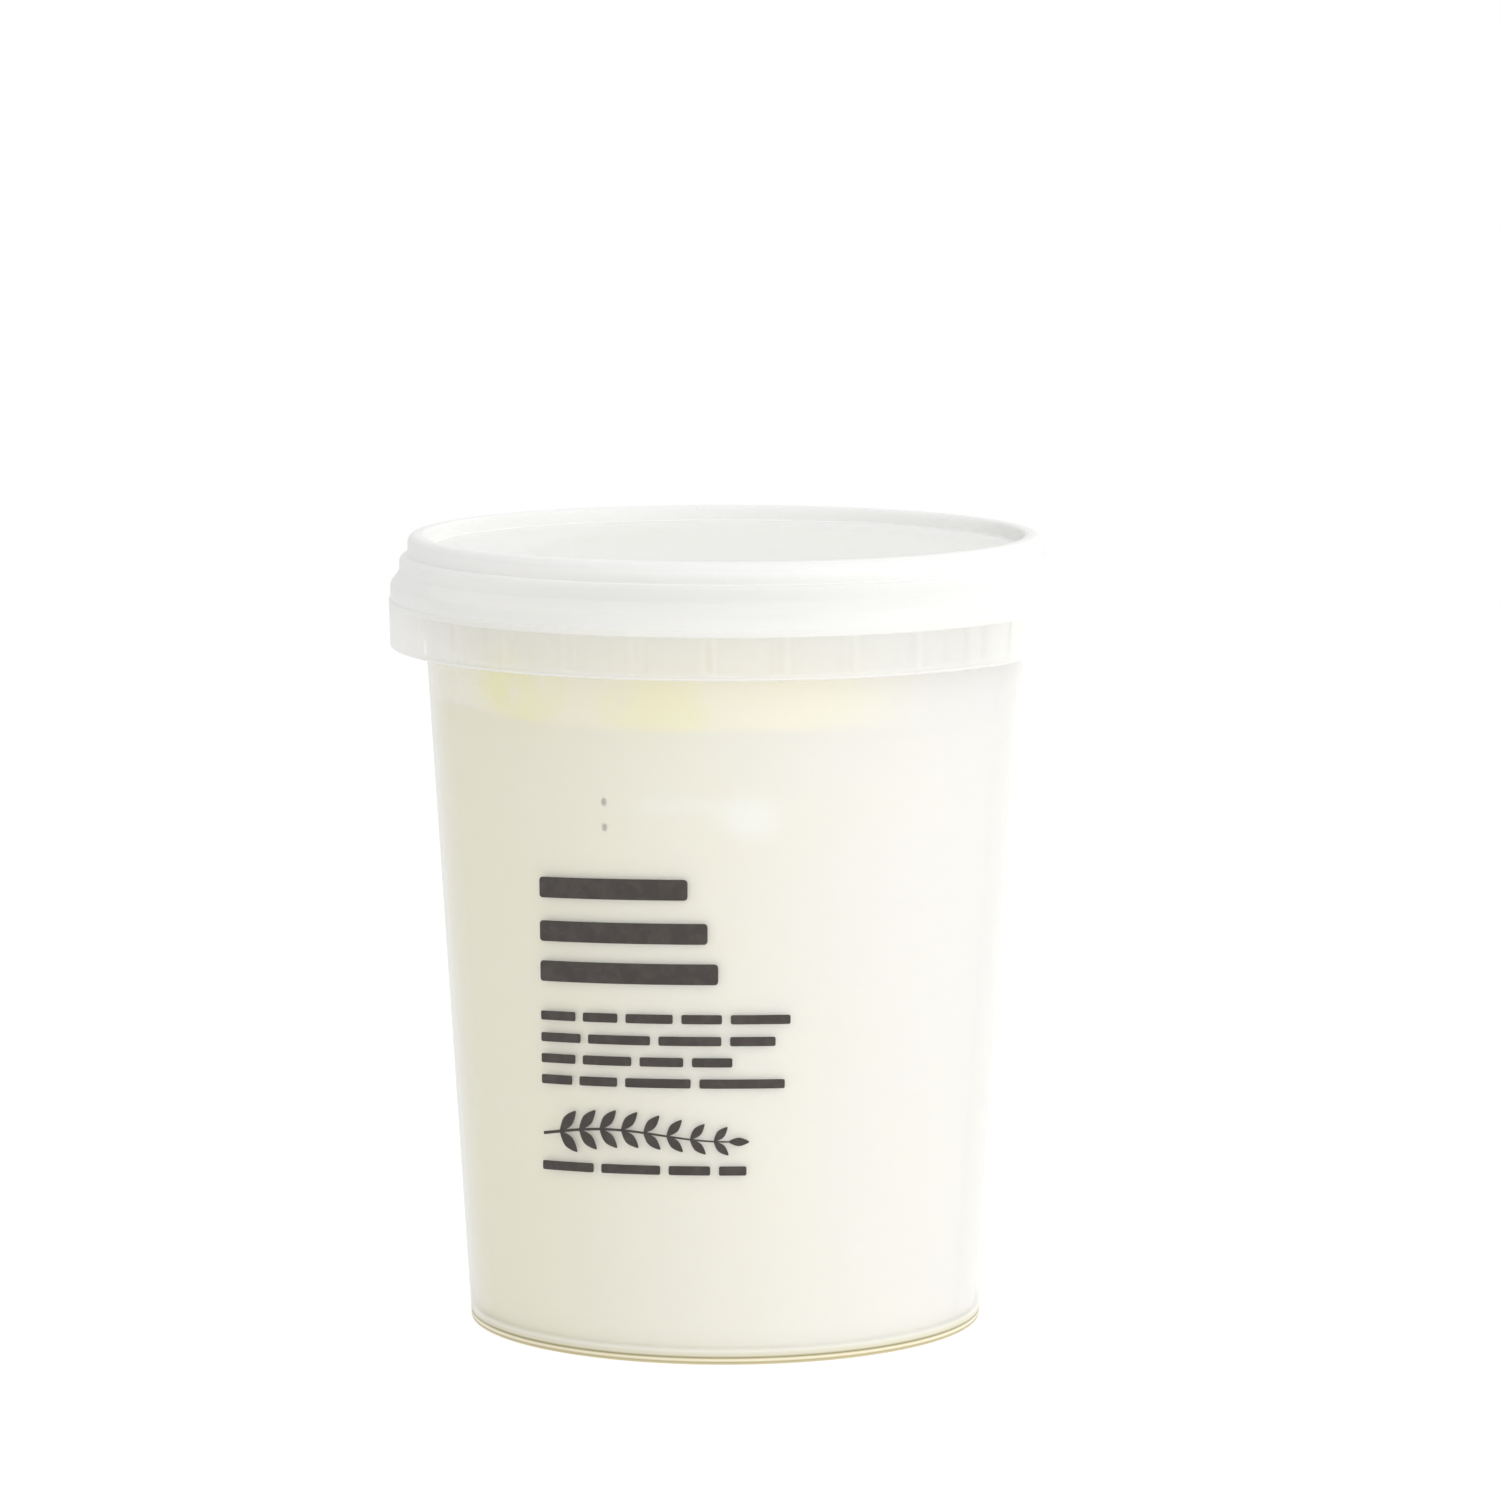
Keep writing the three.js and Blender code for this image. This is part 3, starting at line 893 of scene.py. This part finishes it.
# %% Straw-coloured lines at the foot, each a height and a colour
FOOT_BANDS = [(0.0, (0.80, 0.71, 0.46)), (0.45, (0.50, 0.42, 0.22)), (0.7, (1.0, 0.93, 0.70)),
              (0.95, (1.0, 0.93, 0.70)), (1.25, (0.30, 0.25, 0.09)), (1.6, (0.80, 0.77, 0.60)),
              (2.3, (0.93, 0.91, 0.80)), (3.0, (0.98, 0.975, 0.945))]
bands_top = FOOT_BANDS[-1][0]
split = add(tree, "ShaderNodeSeparateXYZ", {"Vector": place})
along = add(tree, "ShaderNodeMapRange", {"Value": split.outputs["Z"], "From Max": bands_top * MM})
bands = add(tree, "ShaderNodeValToRGB", {"Fac": along.outputs["Result"]})
for index, (height, colour) in enumerate(FOOT_BANDS):
    share = height / bands_top
    stop = bands.color_ramp.elements[index] if index < 2 else bands.color_ramp.elements.new(share)
    stop.position = share
    stop.color = (*colour, 1)
tree.links.new(bands.outputs["Color"], shader.inputs["Base Color"])
tub_shell.data.materials.clear()
tub_shell.data.materials.append(tub_plastic)
print("foot:", len(bands.color_ramp.elements), "colours up to", bands_top, "mm")

# %% [markdown]
# ## The lid's finish
# The lid is the same plastic. Its panel lets the film of cream below it show. The crest's inner wall is as
# clear as the panel, and the shoulders, which are stiff and thick, are the milkiest. Light from outside
# shines through a milky wall and brightens its inner side. To get that brightness, a wall of the lid is
# clearer where it is seen from inside, which Backfacing tells. The hidden faces get a nearly clear finish
# without any nodes.

# %% Finish the lid
LID_COLOUR = (0.95, 0.95, 0.935, 1)
PANEL_HAZE = 0.38
INNER_HAZE = 0.38
CREST_HAZE = 0.65
SHOULDER_HAZE = 0.78
INSIDE_HAZE = 0.32
PANEL_EDGE_START = 0.72
SHOULDER_EDGE_START = 0.35
PANEL_EDGE = 51.7

lid_plastic, tree, shader, place = plastic("milky_lid_plastic")
shader.inputs["Base Color"].default_value = LID_COLOUR
away = radius_in_mm(tree, place)
beyond_panel = add(tree, "ShaderNodeMapRange", {"Value": away, "From Min": PANEL_EDGE - 0.3,
                                                "From Max": PANEL_EDGE + 0.3}).outputs["Result"]
low = height_mask(tree, place, below_crest(0.5), below_crest(1.8))
outer_side = compare(tree, away, CREST_MIDDLE, "GREATER_THAN")
haze = blend(tree, low, CREST_HAZE, SHOULDER_HAZE)
haze = blend(tree, outer_side, INNER_HAZE, haze)
haze = blend(tree, beyond_panel, PANEL_HAZE, haze)
edge_start = blend(tree, beyond_panel, PANEL_EDGE_START, SHOULDER_EDGE_START)
from_outside = turning_haze(tree, haze, EDGE_HAZE, edge_start)
from_inside = add(tree, "ShaderNodeNewGeometry").outputs["Backfacing"]
tree.links.new(blend(tree, from_inside, from_outside, INSIDE_HAZE), shader.inputs["Alpha"])
lid_shell.data.materials.append(lid_plastic)
print("haze of the lid from", INNER_HAZE, "to", SHOULDER_HAZE, "and", INSIDE_HAZE, "from inside")

# %% Finish the lid's hidden faces
hidden_plastic, tree, shader, place = new_material("clear_hidden_plastic")
shader.inputs["Base Color"].default_value = LID_COLOUR
shader.inputs["Roughness"].default_value = PLASTIC_ROUGHNESS
shader.inputs["IOR"].default_value = PLASTIC_IOR
shader.inputs["Alpha"].default_value = CAVITY_HAZE
lid_shell.data.materials.append(hidden_plastic)
print("plastic:", tub_plastic.name, lid_plastic.name, hidden_plastic.name)

# %% [markdown]
# ## Yogurt and cream
# Yogurt is a warm white that lets light in a short way, so it gets a little subsurface scattering. Behind
# the wall it has no gloss of its own, because plastic and yogurt bend light nearly alike, so its specular
# level is low. Its colour is painted warmer and a little lighter to the left and whiter to the right. That
# is painted light: the soft box on the right washes that side out. A pale streak and blob in front are a
# painted reflection on the wall. The cream is butter yellow, but only in patches, the strongest to the left
# of the front. Most of it is nearly as white as the yogurt, and its band is painted whiter to the right in
# the same way. At the border it starts with the yogurt's colour, so that no line shows there.

# %% Start a food finish
SCATTER = 0.15
SCATTER_RADIUS = (1.0, 0.8, 0.5)
SCATTER_SCALE = 0.0006


def food(name, roughness, specular):
    material, tree, shader, place = new_material(name)
    shader.inputs["Roughness"].default_value = roughness
    shader.inputs["Specular IOR Level"].default_value = specular
    shader.inputs["Subsurface Weight"].default_value = SCATTER
    shader.inputs["Subsurface Radius"].default_value = SCATTER_RADIUS
    shader.inputs["Subsurface Scale"].default_value = SCATTER_SCALE
    return material, tree, shader, place


# %% Masks for the food
def patch_mask(tree, place, scale, threshold, softness):
    """A cloudy mask from the group of soft patches."""
    node = add(tree, "ShaderNodeGroup", {}, node_tree=patches)
    tree.links.new(place, node.inputs["Coordinates"])
    node.inputs["Scale"].default_value = scale
    node.inputs["Threshold"].default_value = threshold
    node.inputs["Softness"].default_value = softness
    return node.outputs["Mask"]


def ball_mask(tree, place, middle, size, softness):
    """A mask that is 1 inside an ellipsoid, in millimetres, and fades to 0 outside it."""
    shifted = add(tree, "ShaderNodeVectorMath", {0: place, 1: tuple(c * MM for c in middle)},
                  operation="SUBTRACT")
    squeezed = add(tree, "ShaderNodeVectorMath", {0: shifted.outputs["Vector"],
                                                  1: tuple(1 / (c * MM) for c in size)},
                   operation="MULTIPLY")
    far = add(tree, "ShaderNodeVectorMath", {0: squeezed.outputs["Vector"]}, operation="LENGTH")
    mask = add(tree, "ShaderNodeMapRange", {"Value": far.outputs["Value"], "From Min": 1.0,
                                            "From Max": 1.0 - softness}, interpolation_type="SMOOTHSTEP")
    return mask.outputs["Result"]


PAINTED_LIGHT_REACH = 46.0


def painted_light_ramp(tree, place):
    """Painted light: a mask from 1 at the tub's left side to 0 at its right side, where the key washes out.
    """
    split = add(tree, "ShaderNodeSeparateXYZ", {"Vector": place})
    ramp = add(tree, "ShaderNodeMapRange", {"Value": split.outputs["X"], "From Min": PAINTED_LIGHT_REACH * MM,
                                            "From Max": -PAINTED_LIGHT_REACH * MM})
    return ramp.outputs["Result"]


# %% Finish the yogurt
WHITE = (0.88, 0.865, 0.85)
CREAMY_TONE_AND_PAINTED_LEFT = (0.93, 0.90, 0.72)
PAINTED_REFLECTION = (0.96, 0.95, 0.89)
REFLECTION_STREAK = ((-7, -50, 97.3), (16, 9, 2.4), 0.9)
REFLECTION_BLOB = ((4.6, -51, 95.2), (7.4, 8, 5.2), 0.7)
REFLECTION_STREAK_SHARE = 0.6
CLOUD_SHARE = 0.12
SPECK = (0.38, 0.36, 0.31)
SPECK_SIZE = (0.6, 2.0, 0.9)
SPECKS = [(-20.4, -46.0, 97.6), (-20.3, -45.8, 93.2)]

yogurt_finish, tree, shader, place = food("yogurt", roughness=0.4, specular=0.15)
clouds = patch_mask(tree, place, scale=45.0, threshold=0.5, softness=0.2)
# Real creamy clouds, plus painted light: warmer to the left and whiter where the key washes out the right.
clouds_and_painted_light = add(tree, "ShaderNodeMath", {0: clouds, 1: CLOUD_SHARE, 2: painted_light_ramp(tree, place)},
              operation="MULTIPLY_ADD", use_clamp=True)
milk = mix_colours(tree, clouds_and_painted_light.outputs["Value"], WHITE, CREAMY_TONE_AND_PAINTED_LEFT)
# Painted reflection: a pale streak and blob on the front stand for a soft reflection on the wall.
reflection_streak = ball_mask(tree, place, *REFLECTION_STREAK)
reflection_blob = ball_mask(tree, place, *REFLECTION_BLOB)
painted_reflection_share = add(tree, "ShaderNodeMath", {0: reflection_streak, 1: REFLECTION_STREAK_SHARE, 2: reflection_blob}, operation="MULTIPLY_ADD",
           use_clamp=True)
milk = mix_colours(tree, painted_reflection_share.outputs["Value"], milk, PAINTED_REFLECTION)
for spot in SPECKS:
    milk = mix_colours(tree, ball_mask(tree, place, spot, SPECK_SIZE, 0.5), milk, SPECK)
tree.links.new(milk, shader.inputs["Base Color"])
yogurt_body.data.materials.append(yogurt_finish)
print("yogurt:", len(tree.nodes), "nodes")

# %% Finish the cream
BAND = (0.99, 0.96, 0.83)
PALE_CREAM = (0.99, 0.945, 0.77)
BUTTER = (0.99, 0.945, 0.57)
LEFT_PATCH = ((-36, -38, 115.5), (13, 16, 10), 0.65)
FRONT_PATCH = ((-12, -51, 113.5), (15, 13, 9), 0.65)
FRONT_SHARE = 0.65
WIDE_PATCH = ((-12, -48, 115), (54, 32, 16), 0.6)

cream_finish, tree, shader, place = food("cream", roughness=0.35, specular=0.15)
left_patch = ball_mask(tree, place, *LEFT_PATCH)
front_patch = multiply(tree, ball_mask(tree, place, *FRONT_PATCH), FRONT_SHARE)
both = add(tree, "ShaderNodeMath", {0: left_patch, 1: front_patch}, operation="MAXIMUM")
cloudy = patch_mask(tree, place, scale=110.0, threshold=0.42, softness=0.12)
strong = multiply(tree, both.outputs["Value"], cloudy)
painted_light_share = painted_light_ramp(tree, place)
# Painted light: the band, like the yogurt below the border, is painted whiter towards the right.
band = mix_colours(tree, painted_light_share, WHITE, BAND)
band = mix_colours(tree, ball_mask(tree, place, *WIDE_PATCH), band, PALE_CREAM)
risen = mix_colours(tree, strong, band, BUTTER)
above_border = height_mask(tree, place, CREAM_BOTTOM - 0.8, CREAM_BOTTOM + 1.2)
below = mix_colours(tree, painted_light_share, WHITE, CREAMY_TONE_AND_PAINTED_LEFT)
tree.links.new(mix_colours(tree, above_border, below, risen), shader.inputs["Base Color"])
cream_layer.data.materials.append(cream_finish)
print("cream:", len(tree.nodes), "nodes")

# %% [markdown]
# The film of cream under the lid is thickest in its middle and thins out towards its wavy edge, so it
# covers less there. Here too Alpha is the share that it covers.

# %% Finish the smear
SMEAR_PALE = (0.98, 0.98, 0.94)
SMEAR_WARM = (0.97, 0.96, 0.87)
SMEAR_COVER = 0.85
SMEAR_EDGE_COVER = 0.3
SMEAR_FADE = 0.35

smear_finish, tree, shader, place = food("cream_smear", roughness=0.35, specular=0.2)
thin = patch_mask(tree, place, scale=60.0, threshold=0.5, softness=0.2)
tree.links.new(mix_colours(tree, thin, SMEAR_PALE, SMEAR_WARM), shader.inputs["Base Color"])
film_size = (SMEAR_RADIUS + 2, SMEAR_RADIUS + 2, 20)
film = ball_mask(tree, place, (*SMEAR_MIDDLE, smear_top), film_size, SMEAR_FADE)
tree.links.new(blend(tree, film, SMEAR_EDGE_COVER, SMEAR_COVER), shader.inputs["Alpha"])
cream_smear.data.materials.append(smear_finish)
print("food:", yogurt_finish.name, cream_finish.name, smear_finish.name)

# %% [markdown]
# ## Ink
# The ink is a warm charcoal, matt, and a touch uneven where the film of ink is thinner.

# %% Make the ink
INK = (0.050, 0.040, 0.034)
THIN_INK = (0.070, 0.058, 0.050)
INK_ROUGHNESS = 0.5

ink_finish, tree, shader, place = new_material("ink")
thin = patch_mask(tree, place, scale=400.0, threshold=0.55, softness=0.2)
tree.links.new(mix_colours(tree, thin, INK, THIN_INK), shader.inputs["Base Color"])
shader.inputs["Roughness"].default_value = INK_ROUGHNESS
wall_print.data.materials.append(ink_finish)
print("ink:", ink_finish.name)

# %% [markdown]
# ## The floor's finish
# The sheet is a very little uneven in tone, and glows as described above. Light Path keeps apart how much
# it glows for the camera and how much it lights the tub.

# %% Finish the floor
SHEET = (0.29, 0.29, 0.29)
PALE_SHEET = (0.31, 0.31, 0.31)
SHEET_ROUGHNESS = 0.8
GLOW_AS_LIGHT = 0.62
GLOW_FOR_CAMERA = 0.78

floor_finish, tree, shader, place = new_material("floor")
tone = patch_mask(tree, place, scale=3.0, threshold=0.5, softness=0.4)
tree.links.new(mix_colours(tree, tone, SHEET, PALE_SHEET), shader.inputs["Base Color"])
shader.inputs["Roughness"].default_value = SHEET_ROUGHNESS
shader.inputs["Emission Color"].default_value = (1, 1, 1, 1)
seen = add(tree, "ShaderNodeLightPath").outputs["Is Camera Ray"]
tree.links.new(blend(tree, seen, GLOW_AS_LIGHT, GLOW_FOR_CAMERA), shader.inputs["Emission Strength"])
floor.data.materials.append(floor_finish)
print("floor:", floor_finish.name)

# %% [markdown]
# ## Joining the frame
# Every piece rides on the tub's one body. Four of them remake a CAD solid, and that solid is hidden.

# %% Tie every piece to the frame
for piece, slot in ((tub_shell, "milky_plastic"), (lid_shell, "lid_plastic"), (yogurt_body, "yogurt"),
                    (cream_layer, "cream"), (cream_smear, "cream"), (wall_print, "print")):
    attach(piece, "root")
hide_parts("tub")
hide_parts("lid")
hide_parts("yogurt")
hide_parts("cream")
